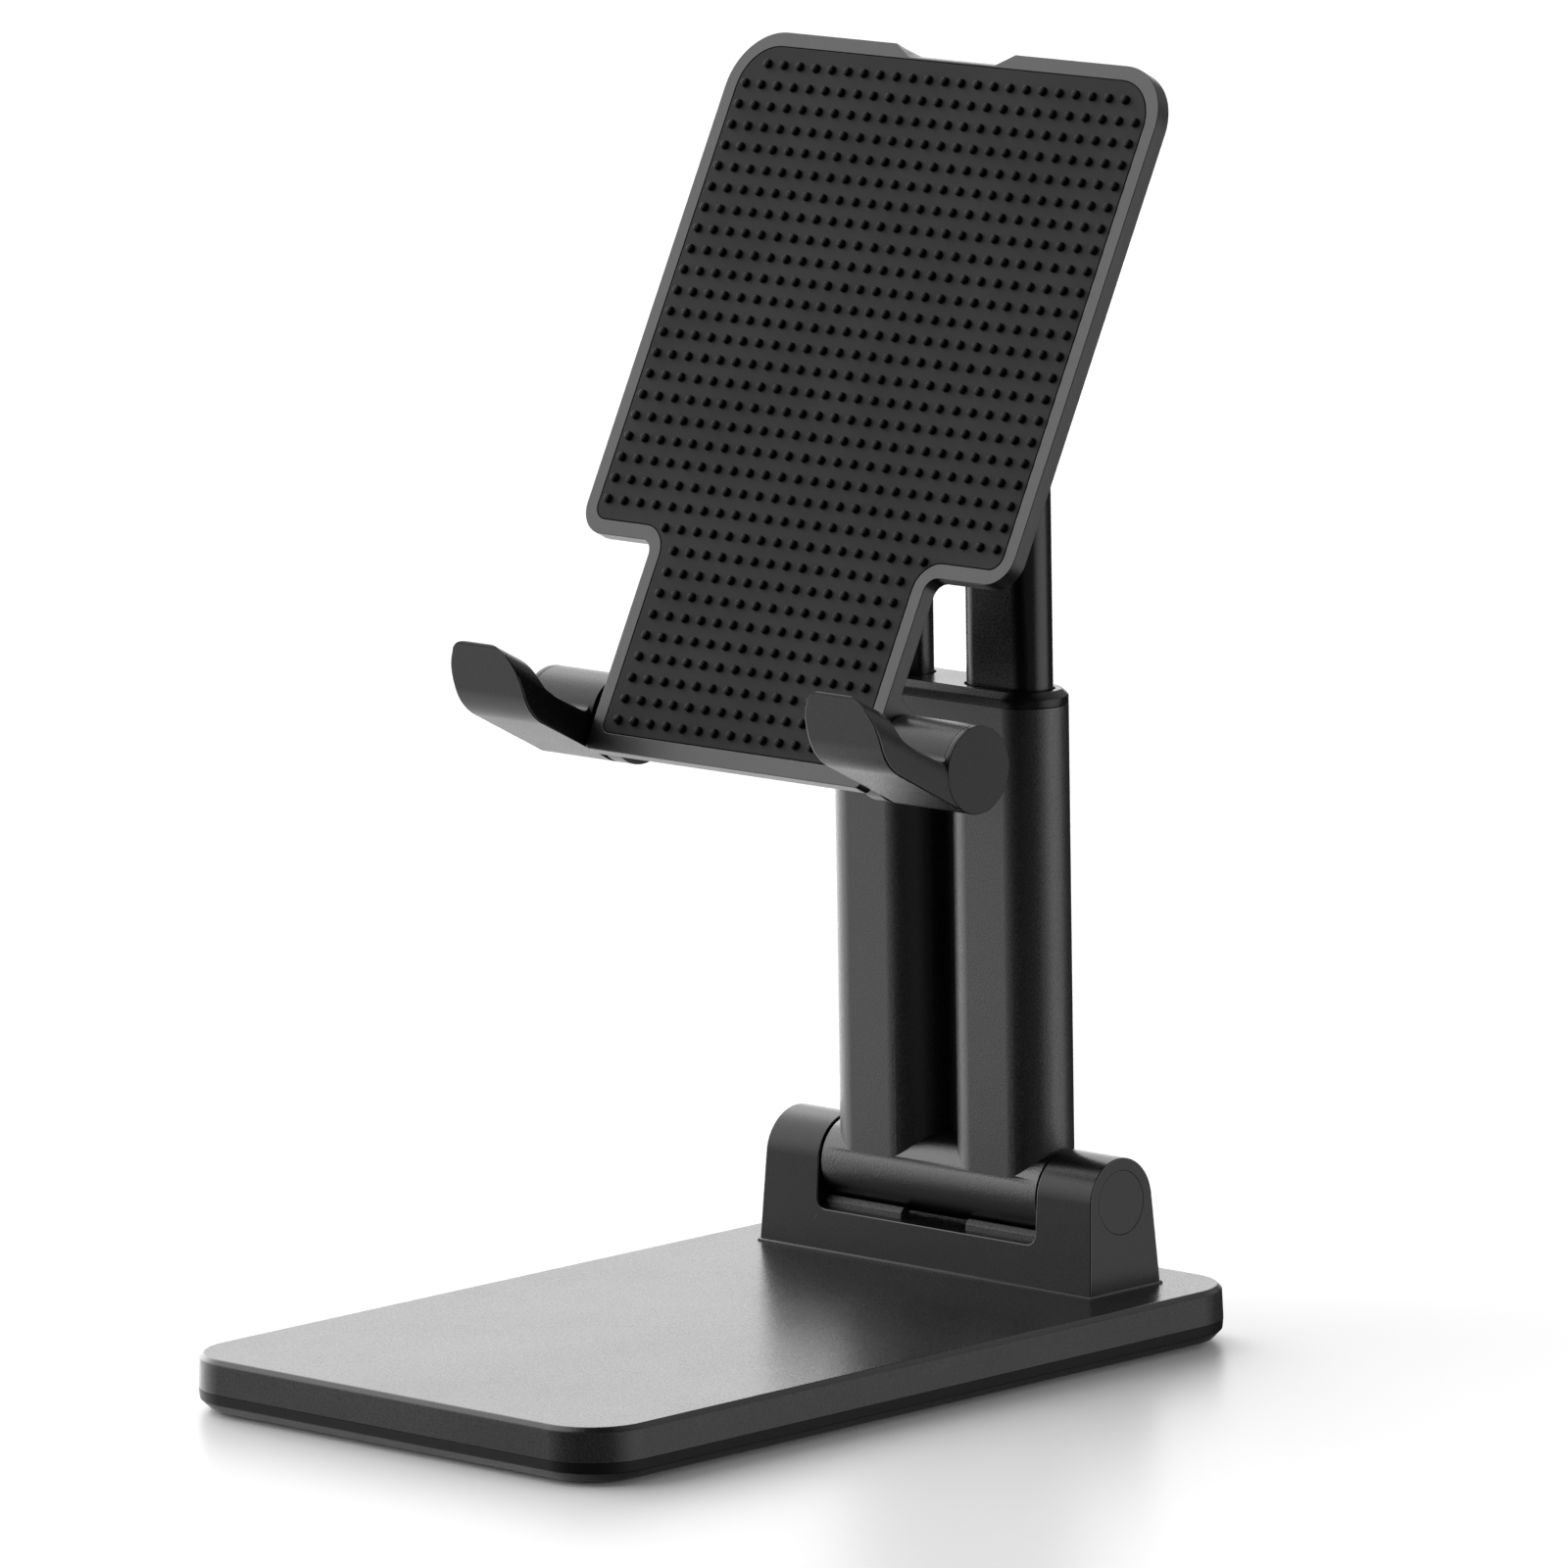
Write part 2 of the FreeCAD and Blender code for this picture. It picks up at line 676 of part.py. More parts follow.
def make_tilt_ear():
    """The right-hand ear and its foot on the plate's back."""
    ear = x_cylinder(head_barrel_radius, ear_inner, ear_outer, 0, 0)
    web = box(ear_inner, ear_outer, plate_back(), 0, -head_barrel_radius, head_barrel_radius)
    foot_y = plate_back() + tilt_foot_thickness
    foot = box(ear_inner, ear_inner + tilt_foot_width, plate_back(), foot_y, -tilt_foot_half, tilt_foot_half)
    corners = [e for e in foot.Edges if e.BoundBox.YLength > tilt_foot_thickness / 2 and e.BoundBox.XMin > ear_outer]
    foot = foot.makeFillet(2.5, corners)
    ear = ear.fuse(web).fuse(foot)
    ear = ear.cut(x_cylinder(head_pin_radius, ear_inner, ear_outer, 0, 0))
    ear = ear.cut(x_cylinder(head_pin_radius + 1.4, ear_outer - 1.9, ear_outer, 0, 0))
    for x, z in foot_screw_places():
        if x > 0:
            hole = Part.makeCylinder(0.7 + running, tilt_foot_thickness, Vector(x, plate_back(), z), Vector(0, 1, 0))
            head = Part.makeCylinder(1.5 + running, 0.9, Vector(x, foot_y - 0.9, z), Vector(0, 1, 0))
            ear = ear.cut(hole).cut(head)
    return ear.removeSplitter()


def make_foot_screws():
    screws = []
    for x, z in foot_screw_places():
        foot_y = plate_back() + tilt_foot_thickness
        head = Part.makeCylinder(1.5, 0.8, Vector(x, foot_y - 0.9, z), Vector(0, 1, 0))
        shank = Part.makeCylinder(0.7, tilt_foot_thickness + 0.5, Vector(x, plate_back() - 1.0, z), Vector(0, 1, 0))
        drive = box(x - 1.0, x + 1.0, foot_y - 0.5, foot_y, z - 0.2, z + 0.2)
        cross = box(x - 0.2, x + 0.2, foot_y - 0.5, foot_y, z - 1.0, z + 1.0)
        screws.append(leaned(head.fuse(shank).cut(drive).cut(cross)))
    return Part.makeCompound(screws)


# ---- hooks ----


def hook_profile():
    """Side outline of a hook about its axis: forward is -Y, and the shelf is square to the plate."""
    r = hook_radius
    lean = math.radians(lip_angle)
    half = lean / 2
    along = (math.cos(lean), math.sin(lean))

    def at(forward, up):
        return Vector(0, -forward, up)

    edges = []
    start_out = lip_outer_reach - lip_outer_bend * math.tan(half)
    end_out = (
        lip_outer_reach + lip_outer_bend * math.tan(half) * along[0],
        -r + lip_outer_bend * math.tan(half) * along[1],
    )
    mid_out = (start_out + lip_outer_bend * math.sin(half), -r + lip_outer_bend * (1 - math.cos(half)))
    start_in = lip_inner_reach - lip_inner_bend * math.tan(half)
    end_in = (
        lip_inner_reach + lip_inner_bend * math.tan(half) * along[0],
        -shelf_below_axis + lip_inner_bend * math.tan(half) * along[1],
    )
    mid_in = (
        start_in + lip_inner_bend * math.sin(half),
        -shelf_below_axis + lip_inner_bend * (1 - math.cos(half)),
    )
    tip_out = lip_outer_reach + (lip_top + r) / math.tan(lean)
    tip_in = lip_inner_reach + (lip_top + shelf_below_axis) / math.tan(lean)
    edges.append(Part.makeLine(at(0, -r), at(start_out, -r)))
    edges.append(Part.Arc(at(start_out, -r), at(*mid_out), at(*end_out)).toShape())
    edges.append(Part.makeLine(at(*end_out), at(tip_out, lip_top)))
    edges.append(Part.makeLine(at(tip_out, lip_top), at(tip_in, lip_top)))
    edges.append(Part.makeLine(at(tip_in, lip_top), at(*end_in)))
    edges.append(Part.Arc(at(*end_in), at(*mid_in), at(start_in, -shelf_below_axis)).toShape())
    edges.append(Part.makeLine(at(start_in, -shelf_below_axis), at(0, -shelf_below_axis)))
    edges.append(Part.makeLine(at(0, -shelf_below_axis), at(0, -r)))
    return Part.Wire(edges)


def runs_along_x(edge, point):
    middle = edge.BoundBox.Center
    near = math.hypot(middle.y - point.y, middle.z - point.z) < 0.01
    return near and edge.BoundBox.XLength > (hook_outer - hook_inner) / 2


def make_hook():
    """The right-hand hook, in the upright drawing."""
    y, z = hook_axis()
    width = hook_outer - hook_inner
    arm = Part.Face(hook_profile()).extrude(Vector(width, 0, 0))
    tip = [e for e in arm.Edges if e.BoundBox.ZMin > lip_top - 1e-6 and e.BoundBox.XLength > width / 2]
    arm = arm.makeFillet(lip_edge, tip)
    reach = lip_outer_reach + 2 * lip_top + 2 * hook_radius
    shield = box(0, width, -reach, hook_radius, -2 * hook_radius, lip_top)
    corners = [e for e in shield.Edges if e.BoundBox.ZMin > lip_top - 1e-6 and e.BoundBox.YLength > reach / 2]
    arm = arm.common(shield.makeFillet(lip_corner, corners))
    arm.translate(Vector(hook_inner, y, z))
    hook = x_cylinder(hook_radius, hook_inner, hook_outer, y, z).fuse(arm).removeSplitter()
    notch = Vector(0, y - math.sqrt(hook_radius ** 2 - shelf_below_axis ** 2), z - shelf_below_axis)
    hook = hook.makeFillet(shelf_fillet, [e for e in hook.Edges if runs_along_x(e, notch)])
    hook = hook.cut(x_cylinder(hook_pin_radius + running, hook_inner, hook_outer, y, z))
    recess = hook_cap_depth + hook_pin_head_depth + clear
    hook = hook.cut(x_cylinder(hook_pin_head_radius + clear, hook_outer - recess, hook_outer, y, z))
    hook = hook.cut(x_cylinder(hook_radius + seam, hook_outer - hook_cap_depth, hook_outer, y, z))
    return hook


def make_hook_cap():
    y, z = hook_axis()
    return x_cylinder(hook_radius, hook_outer - hook_cap_depth, hook_outer, y, z)


def make_hook_pin():
    y, z = hook_axis()
    outer = hook_outer - hook_cap_depth - clear / 2
    pin = x_cylinder(hook_pin_radius, lug_inner, outer, y, z)
    head = x_cylinder(hook_pin_head_radius, outer - hook_pin_head_depth, outer, y, z)
    return pin.fuse(head).removeSplitter()


def make_hook_washer():
    y, z = hook_axis()
    middle = (lug_outer + hook_inner) / 2
    half = washer_thickness / 2
    return x_ring(hook_radius - 0.9, hook_pin_radius + running, middle - half, middle + half, y, z)


def nodes():
    rod = make_rod()
    ear_cap = make_ear_cap()
    tilt_ear = leaned(make_tilt_ear())
    hook = leaned(make_hook())
    hook_cap = leaned(make_hook_cap())
    hook_pin = leaned(make_hook_pin())
    hook_washer = leaned(make_hook_washer())
    return {
        "base_cover": make_base_cover(),
        "base_tray": make_base_tray(),
        "base_weight": make_base_weight(),
        "base_foot_pad": make_base_pad(),
        "base_screws": make_base_screws(),
        "hinge_housing": make_housing(),
        "housing_screws": make_housing_screws(),
        "ear_cap_right": ear_cap,
        "ear_cap_left": mirrored(ear_cap),
        "fold_bumpers": make_bumpers(),
        "hinge_pin": make_hinge_pin(),
        "hinge_nut": make_hinge_nut(),
        "hinge_springs": make_hinge_springs(),
        "hinge_washers": make_hinge_washers(),
        "lower_arm": make_lower_arm(),
        "arm_bushings": make_arm_bushings(),
        "arm_cap": make_arm_cap(),
        "slide_liners": make_slide_liners(),
        "rod_right": rod,
        "rod_left": mirrored(rod),
        "rod_stops": make_rod_stops(),
        "head_yoke": make_head_yoke(),
        "head_screws": make_head_screws(),
        "head_washers": make_head_washers(),
        "head_pin": make_head_pin(),
        "head_nut": make_head_nut(),
        "phone_plate": make_plate(),
        "silicone_pad": make_silicone(),
        "tilt_ear_right": tilt_ear,
        "tilt_ear_left": mirrored(tilt_ear),
        "tilt_ear_screws": make_foot_screws(),
        "hook_right": hook,
        "hook_left": mirrored(hook),
        "hook_cap_right": hook_cap,
        "hook_cap_left": mirrored(hook_cap),
        "hook_pin_right": hook_pin,
        "hook_pin_left": mirrored(hook_pin),
        "hook_washer_right": hook_washer,
        "hook_washer_left": mirrored(hook_washer),
    }


def main():
    os.makedirs("parts", exist_ok=True)
    for name, shape in nodes().items():
        shape.exportStep(f"parts/{name}.step")
        valid = shape.isValid()
        print(f"{name:20s} solids {len(shape.Solids):2d}  valid {valid}  {shape.Volume / 1000:8.3f} cm3")


main()
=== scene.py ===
import bpy
import bmesh
import json
import math
from mathutils import Matrix, Vector


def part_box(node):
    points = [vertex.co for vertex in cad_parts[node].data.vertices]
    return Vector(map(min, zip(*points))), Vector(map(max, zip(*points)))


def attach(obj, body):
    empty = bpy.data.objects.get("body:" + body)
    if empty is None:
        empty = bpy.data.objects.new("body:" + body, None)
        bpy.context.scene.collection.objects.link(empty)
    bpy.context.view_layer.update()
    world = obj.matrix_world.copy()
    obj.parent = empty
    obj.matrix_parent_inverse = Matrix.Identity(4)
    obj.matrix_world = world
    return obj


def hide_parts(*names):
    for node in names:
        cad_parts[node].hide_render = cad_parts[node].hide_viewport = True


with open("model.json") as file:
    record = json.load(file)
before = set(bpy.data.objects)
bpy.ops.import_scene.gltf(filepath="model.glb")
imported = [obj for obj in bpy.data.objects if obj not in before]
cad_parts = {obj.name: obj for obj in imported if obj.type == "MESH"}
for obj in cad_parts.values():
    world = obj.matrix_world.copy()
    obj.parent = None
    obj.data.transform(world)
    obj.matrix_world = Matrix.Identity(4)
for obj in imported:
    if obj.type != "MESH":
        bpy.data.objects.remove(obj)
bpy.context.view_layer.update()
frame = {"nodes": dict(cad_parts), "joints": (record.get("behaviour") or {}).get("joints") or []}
nodes = frame["nodes"]
print("frame loaded:", len(nodes), "CAD nodes")


def clearSelection():
    if bpy.context.object and bpy.context.object.mode != "OBJECT":
        bpy.ops.object.mode_set(mode="OBJECT")
    bpy.ops.object.select_all(action="DESELECT")


def pick(piece):
    clearSelection()
    piece.select_set(True)
    bpy.context.view_layer.objects.active = piece


def applyModifiers(piece):
    pick(piece)
    for modifier in list(piece.modifiers):
        bpy.ops.object.modifier_apply(modifier=modifier.name)


def smoothShade(piece, angle):
    pick(piece)
    bpy.ops.object.shade_smooth_by_angle(angle=math.radians(angle))


def give(piece, bodyName, slotName, *standsFor):
    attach(piece, bodyName)
    if standsFor:
        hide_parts(*standsFor)


welding = {"gap": 0.000002, "flatAngle": 0.4}
rounding = {"sharpAngle": 30, "segments": 3, "smoothAngle": 35, "faceWeight": 60}


def copyOfNode(nodeName, pieceName, finish, edgeFinish):
    # a copy of the CAD solid, welded, with its flat faces whole again
    piece = bpy.data.objects.new(pieceName, nodes[nodeName].data.copy())
    bpy.context.scene.collection.objects.link(piece)
    pick(piece)
    bpy.ops.mesh.customdata_custom_splitnormals_clear()
    bpy.ops.object.mode_set(mode="EDIT")
    bpy.ops.mesh.select_all(action="SELECT")
    bpy.ops.mesh.remove_doubles(threshold=welding["gap"])
    bpy.ops.mesh.dissolve_limited(angle_limit=math.radians(welding["flatAngle"]))
    bpy.ops.object.mode_set(mode="OBJECT")
    piece.data.materials.clear()
    piece.data.materials.append(finish)
    if edgeFinish:
        piece.data.materials.append(edgeFinish)
    return piece


def roundEdges(piece, radius, staysCrisp):
    # every sharp edge gets the small radius that a mould leaves, apart from those that staysCrisp() names
    mesh = bmesh.new()
    mesh.from_mesh(piece.data)
    layers = mesh.edges.layers.float
    weights = layers.get("bevel_weight_edge") or layers.new("bevel_weight_edge")
    sharpAngle = math.radians(rounding["sharpAngle"])
    for edge in mesh.edges:
        sharp = len(edge.link_faces) == 2 and edge.calc_face_angle(0) > sharpAngle
        middle = (edge.verts[0].co + edge.verts[1].co) / 2
        edge[weights] = 1.0 if sharp and not staysCrisp(middle) else 0.0
    mesh.to_mesh(piece.data)
    mesh.free()
    hasEdgeFinish = len(piece.data.materials) > 1
    bevel = piece.modifiers.new("rounding", "BEVEL")
    bevel.width = radius
    bevel.segments = rounding["segments"]
    bevel.limit_method = "WEIGHT"
    bevel.miter_outer = "MITER_ARC"
    # clamping lets a shell's shortest edge thin all its rounds, so a round with its own finish is not clamped
    bevel.use_clamp_overlap = not hasEdgeFinish
    if hasEdgeFinish:
        bevel.material = 1
    applyModifiers(piece)
    smoothShade(piece, rounding["smoothAngle"])
    weighted = piece.modifiers.new("even", "WEIGHTED_NORMAL")
    weighted.keep_sharp = True
    weighted.weight = rounding["faceWeight"]
    applyModifiers(piece)


def newMaterial(name):
    material = bpy.data.materials.new(name)
    material.use_nodes = True
    tree = material.node_tree
    return material, tree, tree.nodes["Principled BSDF"]


usualNoise = (0.3, 0.7)  # where nearly all of a noise's values lie
middleNoise = (0.4, 0.6)


def noiseNode(tree, scale, detail, roughness):
    coordinates = tree.nodes.get("piece coordinates")
    if coordinates is None:
        coordinates = tree.nodes.new("ShaderNodeTexCoord")
        coordinates.name = "piece coordinates"
    noise = tree.nodes.new("ShaderNodeTexNoise")
    noise.inputs["Scale"].default_value = scale
    noise.inputs["Detail"].default_value = detail
    noise.inputs["Roughness"].default_value = roughness
    tree.links.new(coordinates.outputs["Object"], noise.inputs["Vector"])
    return noise.outputs["Fac"]


def spread(tree, source, low, high, within=usualNoise):
    ranged = tree.nodes.new("ShaderNodeMapRange")
    ranged.inputs["From Min"].default_value = within[0]
    ranged.inputs["From Max"].default_value = within[1]
    ranged.inputs["To Min"].default_value = low
    ranged.inputs["To Max"].default_value = high
    tree.links.new(source, ranged.inputs["Value"])
    return ranged.outputs["Result"]


def mottle(tree, source, dark, light, blue=1.0):
    ramp = tree.nodes.new("ShaderNodeValToRGB")
    first, last = ramp.color_ramp.elements
    first.position, last.position = usualNoise
    first.color = (dark, dark, dark, 1)
    last.color = (light, light, light * blue, 1)
    tree.links.new(source, ramp.inputs["Fac"])
    return ramp.outputs["Color"]


def relief(tree, shader, source, strength, depth):
    bump = tree.nodes.new("ShaderNodeBump")
    bump.inputs["Strength"].default_value = strength
    bump.inputs["Distance"].default_value = depth
    tree.links.new(source, bump.inputs["Height"])
    tree.links.new(bump.outputs["Normal"], shader.inputs["Normal"])


plasticNoise = {"grainDetail": 3.0, "grainRoughness": 0.6, "cloudDetail": 3.0, "cloudRoughness": 0.55,
                "darker": 0.85, "lighter": 1.18, "wornEdges": (0.52, 0.62)}


def mouldedPlastic(name, look):
    # a fine sandy grain in relief, gloss and colour, faint mottling over it, and paler worn edges
    material, tree, shader = newMaterial(name)
    grain = noiseNode(tree, look["grainScale"], plasticNoise["grainDetail"], plasticNoise["grainRoughness"])
    cloud = noiseNode(tree, look["cloudScale"], plasticNoise["cloudDetail"], plasticNoise["cloudRoughness"])
    dark, light = look["shade"] * plasticNoise["darker"], look["shade"] * plasticNoise["lighter"]
    body = mottle(tree, cloud, dark, light)
    geometry = tree.nodes.new("ShaderNodeNewGeometry")
    worn = spread(tree, geometry.outputs["Pointiness"], 0.0, look["edgeWear"], plasticNoise["wornEdges"])
    edge = look["edgeShade"]
    mix = tree.nodes.new("ShaderNodeMix")
    mix.data_type = "RGBA"
    mix.inputs["B"].default_value = (edge, edge, edge, 1)
    tree.links.new(worn, mix.inputs["Factor"])
    tree.links.new(body, mix.inputs["A"])
    sandy = tree.nodes.new("ShaderNodeVectorMath")
    sandy.operation = "SCALE"
    speck = spread(tree, grain, 1 - look["speck"], 1 + look["speck"], middleNoise)
    tree.links.new(mix.outputs["Result"], sandy.inputs[0])
    tree.links.new(speck, sandy.inputs["Scale"])
    tree.links.new(sandy.outputs["Vector"], shader.inputs["Base Color"])
    gloss = spread(tree, cloud, -look["patchy"], look["patchy"])
    sparkle = spread(tree, grain, look["roughness"] - look["sparkle"], look["roughness"] + look["sparkle"])
    gritty = tree.nodes.new("ShaderNodeMath")
    gritty.operation = "ADD"
    tree.links.new(gloss, gritty.inputs[0])
    tree.links.new(sparkle, gritty.inputs[1])
    tree.links.new(gritty.outputs["Value"], shader.inputs["Roughness"])
    relief(tree, shader, grain, look["grain"], look["grainDepth"])
    shader.inputs["Specular IOR Level"].default_value = look["specular"]
    return material


siliconeNoise = {"bloomDetail": 4.0, "bloomRoughness": 0.6, "fineDetail": 2.0, "fineRoughness": 0.5,
                 "darker": 0.88, "lighter": 1.15, "patchy": 0.05, "depth": 0.00005, "sheenRoughness": 0.5}


def softSilicone(name, look):
    # matt and close to black, with a faint bloom
    material, tree, shader = newMaterial(name)
    bloom = noiseNode(tree, look["bloomScale"], siliconeNoise["bloomDetail"], siliconeNoise["bloomRoughness"])
    fine = noiseNode(tree, look["fineScale"], siliconeNoise["fineDetail"], siliconeNoise["fineRoughness"])
    dark, light = look["shade"] * siliconeNoise["darker"], look["shade"] * siliconeNoise["lighter"]
    low, high = look["roughness"] - siliconeNoise["patchy"], look["roughness"] + siliconeNoise["patchy"]
    tree.links.new(mottle(tree, bloom, dark, light), shader.inputs["Base Color"])
    tree.links.new(spread(tree, bloom, low, high), shader.inputs["Roughness"])
    relief(tree, shader, fine, look["fine"], siliconeNoise["depth"])
    shader.inputs["Specular IOR Level"].default_value = look["specular"]
    shader.inputs["Sheen Weight"].default_value = look["sheen"]
    shader.inputs["Sheen Roughness"].default_value = siliconeNoise["sheenRoughness"]
    return material


turnedNoise = {"layDetail": 2.0, "layRoughness": 0.5, "stainScale": 180, "stainDetail": 3.0,
               "stainRoughness": 0.5, "darker": 0.8, "blue": 1.02, "patchy": 0.07,
               "strength": 0.15, "depth": 0.00003}


def turnedPart(name, look):
    # small turned or plated parts: fine lay marks and a faint stain
    material, tree, shader = newMaterial(name)
    lay = noiseNode(tree, look["layScale"], turnedNoise["layDetail"], turnedNoise["layRoughness"])
    stain = noiseNode(tree, turnedNoise["stainScale"], turnedNoise["stainDetail"],
                      turnedNoise["stainRoughness"])
    dark, light = look["shade"] * turnedNoise["darker"], look["shade"]
    low, high = look["roughness"] - turnedNoise["patchy"], look["roughness"] + turnedNoise["patchy"]
    tree.links.new(mottle(tree, stain, dark, light, turnedNoise["blue"]), shader.inputs["Base Color"])
    tree.links.new(spread(tree, stain, low, high), shader.inputs["Roughness"])
    relief(tree, shader, lay, turnedNoise["strength"], turnedNoise["depth"])
    shader.inputs["Metallic"].default_value = look["metallic"]
    return material


# what the black mouldings share; each one below says only where it differs
plasticLook = {"shade": 0.01, "roughness": 0.3, "patchy": 0.02, "grain": 0.5, "grainDepth": 0.00003,
               "grainScale": 4200, "cloudScale": 60, "edgeWear": 0.3, "edgeShade": 0.02, "specular": 0.5,
               "sparkle": 0.05, "speck": 0.3}
satinLook = dict(plasticLook, shade=0.007, roughness=0.25, patchy=0.015, grain=0.6, specular=0.55,
                 sparkle=0.07, speck=0.8)
plateLook = dict(plasticLook, shade=0.009, roughness=0.33, grainScale=5200, specular=0.66, speck=0.25)
hookLook = dict(plasticLook, roughness=0.31, grainScale=4600, specular=0.32, speck=0.6)
erodedLook = dict(plasticLook, shade=0.012, roughness=0.4, grain=0.7, grainDepth=0.00005, specular=0.95,
                  sparkle=0.12, speck=0.95)
smoothLook = dict(plasticLook, shade=0.008, roughness=0.28, patchy=0.015, grain=0.4, grainDepth=0.00002,
                  grainScale=5200, specular=0.38, sparkle=0.04, speck=0.35)
# pale grey for the foot bead: a painted highlight for the light line its edge catches
beadHighlightLook = dict(plasticLook, shade=0.05, roughness=0.35, grain=0.3, grainDepth=0.00002, grainScale=5200,
                edgeShade=0.06, sparkle=0.03, speck=0.1)
# black plastic, made darker still: partly painted shade from the plate above the collar
collarShadedLook = dict(plasticLook, shade=0.006, roughness=0.26, grain=0.4, grainScale=5200, specular=0.34,
                  speck=0.7)
# the barrel is glossier than the posts, which is real; its darker colour is painted shade from the housing
# channel around it
barrelShadedLook = dict(plasticLook, shade=0.006, roughness=0.18, grain=0.8, grainDepth=0.00006, specular=1.0,
                  sparkle=0.08, speck=0.9)
rodLook = dict(plasticLook, shade=0.006, roughness=0.26, grain=0.4, grainScale=4000, sparkle=0.06)
# the base's upright faces are paler than its top: painted light from the white floor close by
floorLitSideLook = dict(plasticLook, shade=0.045, roughness=0.33, grainScale=3800, edgeShade=0.03, specular=0.3,
                sparkle=0.06)
crispLook = dict(plasticLook, shade=0.004, roughness=0.16, patchy=0.01, grain=0.3, grainDepth=0.00002,
                 grainScale=4000, edgeShade=0.01, specular=0.7, sparkle=0.02, speck=0.1)
trayLook = dict(plasticLook, roughness=0.48, patchy=0.03, grain=0.6, grainDepth=0.00004, grainScale=5000,
                specular=0.16)
ribLook = dict(plasticLook, shade=0.075, roughness=0.5, patchy=0.03, grain=1.0, grainDepth=0.00006,
               edgeShade=0.09, sparkle=0.1, speck=0.5)
siliconeLook = {"shade": 0.011, "roughness": 0.55, "sheen": 0.0, "fine": 0.15, "fineScale": 5000,
                "bloomScale": 70, "specular": 0.2}
dotLook = dict(siliconeLook, shade=0.0025, roughness=0.42, fine=0.1, specular=0.1)
rubberLook = {"shade": 0.014, "roughness": 0.7, "sheen": 0.05, "fine": 0.3, "fineScale": 3000,
              "bloomScale": 90, "specular": 0.3}
steelLook = {"shade": 0.45, "roughness": 0.32, "metallic": 1.0, "layScale": 1800}
darkSteelLook = {"shade": 0.12, "roughness": 0.35, "metallic": 1.0, "layScale": 1800}
washerLook = {"shade": 0.02, "roughness": 0.5, "metallic": 0.0, "layScale": 1500}

basePlastic = mouldedPlastic("base satin black", satinLook)
postPlastic = mouldedPlastic("post eroded black", erodedLook)
housingPlastic = mouldedPlastic("housing smooth black", smoothLook)
platePlastic = mouldedPlastic("plate satin black", plateLook)
hookPlastic = mouldedPlastic("hook satin black", hookLook)
beadHighlightPlastic = mouldedPlastic("bead painted highlight", beadHighlightLook)
collarShadedPlastic = mouldedPlastic("collar satin black painted shade", collarShadedLook)
ribPlastic = mouldedPlastic("rib grey", ribLook)
rodCoat = mouldedPlastic("rod smooth black", rodLook)
floorLitSidePlastic = mouldedPlastic("base side painted floor light", floorLitSideLook)
crispPlastic = mouldedPlastic("crisp edge black", crispLook)
barrelShadedPlastic = mouldedPlastic("barrel satin black painted shade", barrelShadedLook)
trayPlastic = mouldedPlastic("tray matt black", trayLook)
silicone = softSilicone("pad silicone", siliconeLook)
dotSilicone = softSilicone("dot silicone", dotLook)
footRubber = softSilicone("foot rubber", rubberLook)
steel = turnedPart("pin steel", steelLook)
darkSteel = turnedPart("screw steel", darkSteelLook)
washerPlastic = turnedPart("washer plastic", washerLook)
print("finishes made")


finishOfSlot = {
    "base_shell": basePlastic, "base_tray": trayPlastic, "weight_steel": steel, "foot_rubber": footRubber,
    "screw_steel": darkSteel, "housing": housingPlastic, "cap": hookPlastic, "bumper": ribPlastic,
    "pin_steel": steel, "spring_steel": steel, "washer": washerPlastic, "arm": postPlastic, "rod": rodCoat,
    "yoke": housingPlastic, "plate": platePlastic, "silicone": silicone, "hook": hookPlastic,
}
for node in nodes.values():
    for index, material in enumerate(node.data.materials):
        if material and material.name in finishOfSlot:
            node.data.materials[index] = finishOfSlot[material.name]
print("carried-over nodes finished")


hingeAxis, tiltAxis = [Vector(j["pos_m"]) for j in frame["joints"] if j["name"] in ("arm_fold", "plate_tilt")]
hookAxis = [Vector(j["pos_m"]) for j in frame["joints"] if j["name"] == "hook_fold_right"][0]
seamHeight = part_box("base_cover")[0].z
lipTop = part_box("hook_right")[1].z
# how far round a seam, a disc or the lip's tip the edges stay crisp
crispReach = {"seam": 0.0003, "earDisc": 0.0004, "hookDisc": 0.0002, "tip": 0.0013}


def nowhere(point):
    return False


def alongSeam(point):
    return abs(point.z - seamHeight) < crispReach["seam"]


def roundDisc(nodeName, axis, reach):
    low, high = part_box(nodeName)
    radius = (high.z - low.z) / 2 + reach

    def inside(point):
        return math.hypot(point.y - axis.y, point.z - axis.z) < radius
    return inside


atEarDisc = roundDisc("ear_cap_right", hingeAxis, crispReach["earDisc"])
atHookDisc = roundDisc("hook_cap_right", hookAxis, crispReach["hookDisc"])


def atHookDiscOrTip(point):
    # the lip's tip is rounded already
    return atHookDisc(point) or point.z > lipTop - crispReach["tip"]


